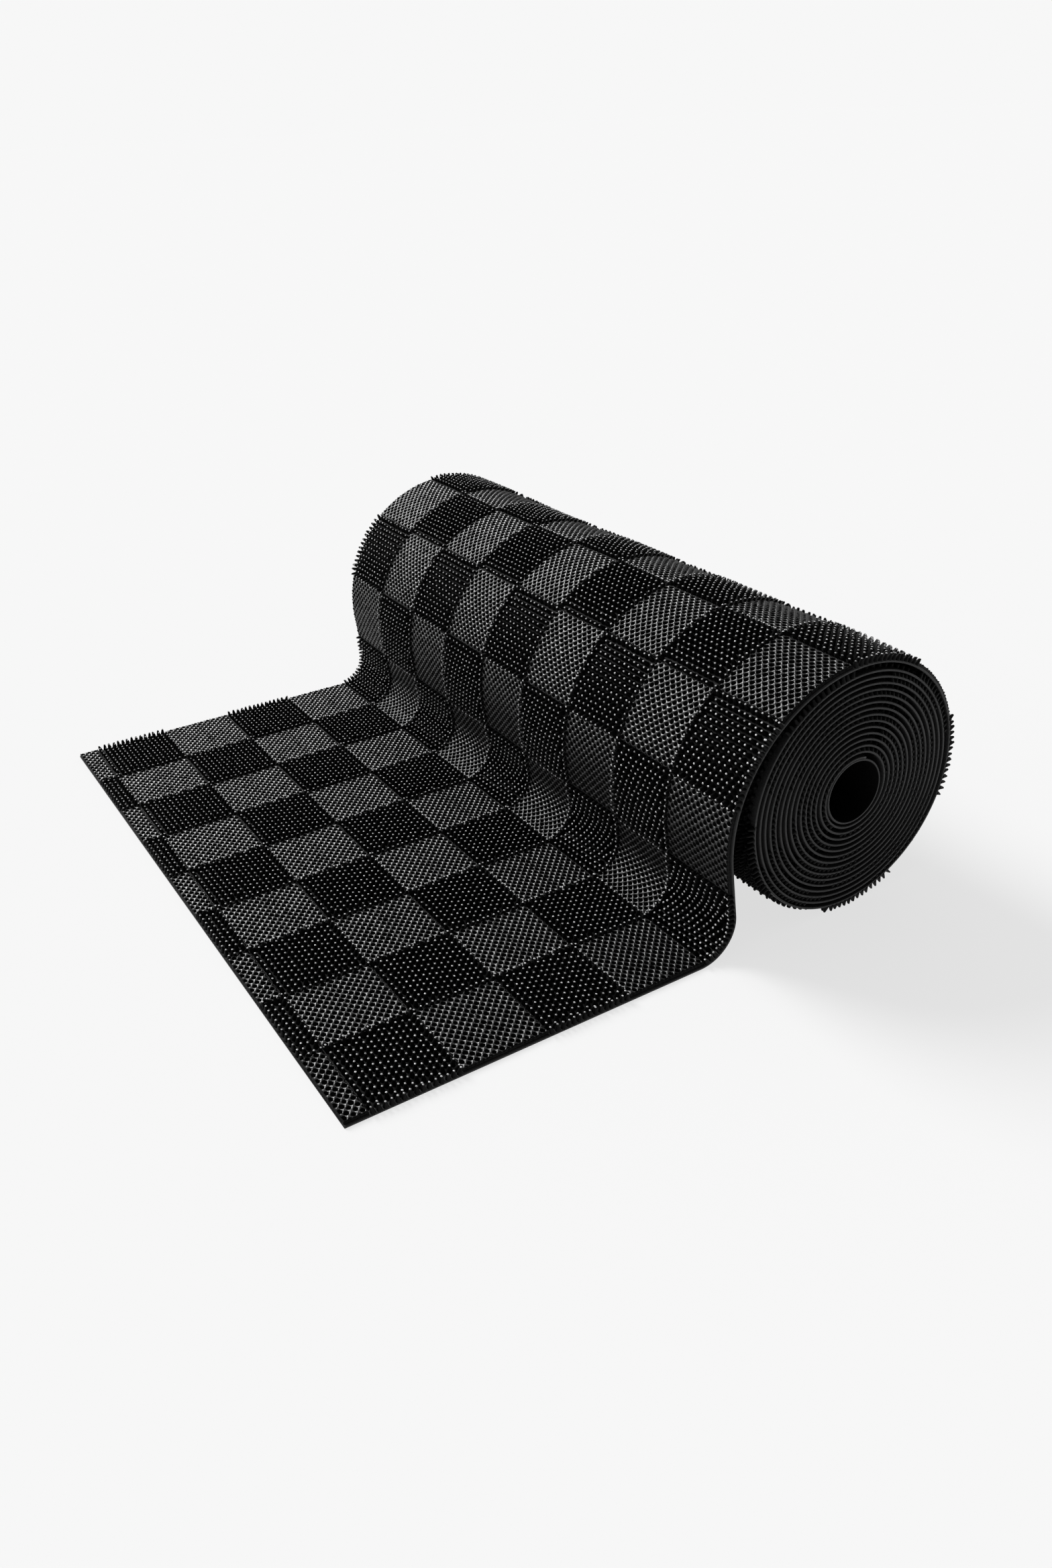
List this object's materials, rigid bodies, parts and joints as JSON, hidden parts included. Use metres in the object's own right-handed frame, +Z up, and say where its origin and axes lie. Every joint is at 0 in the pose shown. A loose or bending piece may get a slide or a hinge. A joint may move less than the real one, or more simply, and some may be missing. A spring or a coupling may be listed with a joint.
{
  "type": "bristle door mat roll",
  "caption": "Plastic door matting in a checkerboard of tall bristles and low pierced pads, one end flat on the floor and the rest rolled up.",
  "frame": {"origin": "on the floor, under the middle of the whole mat", "axes": "+X from the free end towards the roll, +Y along the roll, +Z up"},
  "size_m": [0.7835, 0.914, 0.3115],
  "materials": {
    "web": "satin moulded plastic",
    "tall_pins": "satin, with small paler worn tips",
    "short_pads": "glossy rounded walls between deep dark holes",
    "squeezed_pins": "satin"
  },
  "bodies": {
    "roll": {"course_04_web": "web", "course_04_tall_pins": "tall_pins", "course_04_short_pads": "short_pads", "course_05_web": "web", "course_05_tall_pins": "tall_pins", "course_05_short_pads": "short_pads", "course_06_web": "web", "course_06_tall_pins": "tall_pins", "course_06_short_pads": "short_pads", "course_07_web": "web", "course_07_tall_pins": "tall_pins", "course_07_short_pads": "short_pads", "course_08_web": "web", "course_08_tall_pins": "tall_pins", "course_08_short_pads": "short_pads", "course_09_web": "web", "course_09_tall_pins": "tall_pins", "course_09_short_pads": "short_pads", "course_10_web": "web", "course_10_tall_pins": "tall_pins", "course_10_short_pads": "short_pads", "course_11_web": "web", "course_11_tall_pins": "tall_pins", "course_11_short_pads": "short_pads", "course_12_web": "web", "course_12_tall_pins": "tall_pins", "course_12_short_pads": "short_pads", "course_13_web": "web", "course_13_tall_pins": "tall_pins", "course_13_short_pads": "short_pads", "course_14_web": "web", "course_14_tall_pins": "tall_pins", "course_14_short_pads": "short_pads", "course_15_web": "web", "course_15_tall_pins": "tall_pins", "course_15_short_pads": "short_pads", "coil_web": "web", "coil_pile": "squeezed_pins", "core_ring": "web"},
    "course_03": {"course_03_web": "web", "course_03_tall_pins": "tall_pins", "course_03_short_pads": "short_pads"},
    "course_02": {"course_02_web": "web", "course_02_tall_pins": "tall_pins", "course_02_short_pads": "short_pads"},
    "course_01": {"course_01_web": "web", "course_01_tall_pins": "tall_pins", "course_01_short_pads": "short_pads"},
    "free_end": {"free_end_web": "web", "free_end_tall_pins": "tall_pins", "free_end_short_pads": "short_pads"}
  },
  "joints": [
    {"name": "seam_3_bend", "type": "hinge", "parent": "roll", "child": "course_03", "pos_m": [-0.06475, 0, 0.0025], "axis": [0, 1, 0], "range_deg": [0, 30], "stiffness_Nm_per_rad": 2.4},
    {"name": "seam_2_bend", "type": "hinge", "parent": "course_03", "child": "course_02", "pos_m": [-0.16475, 0, 0.0025], "axis": [0, 1, 0], "range_deg": [0, 30], "stiffness_Nm_per_rad": 2.4},
    {"name": "seam_1_bend", "type": "hinge", "parent": "course_02", "child": "course_01", "pos_m": [-0.26475, 0, 0.0025], "axis": [0, 1, 0], "range_deg": [0, 30], "stiffness_Nm_per_rad": 2.4},
    {"name": "end_seam_bend", "type": "hinge", "parent": "course_01", "child": "free_end", "pos_m": [-0.36475, 0, 0.0025], "axis": [0, 1, 0], "range_deg": [0, 30], "stiffness_Nm_per_rad": 2.4}
  ]
}
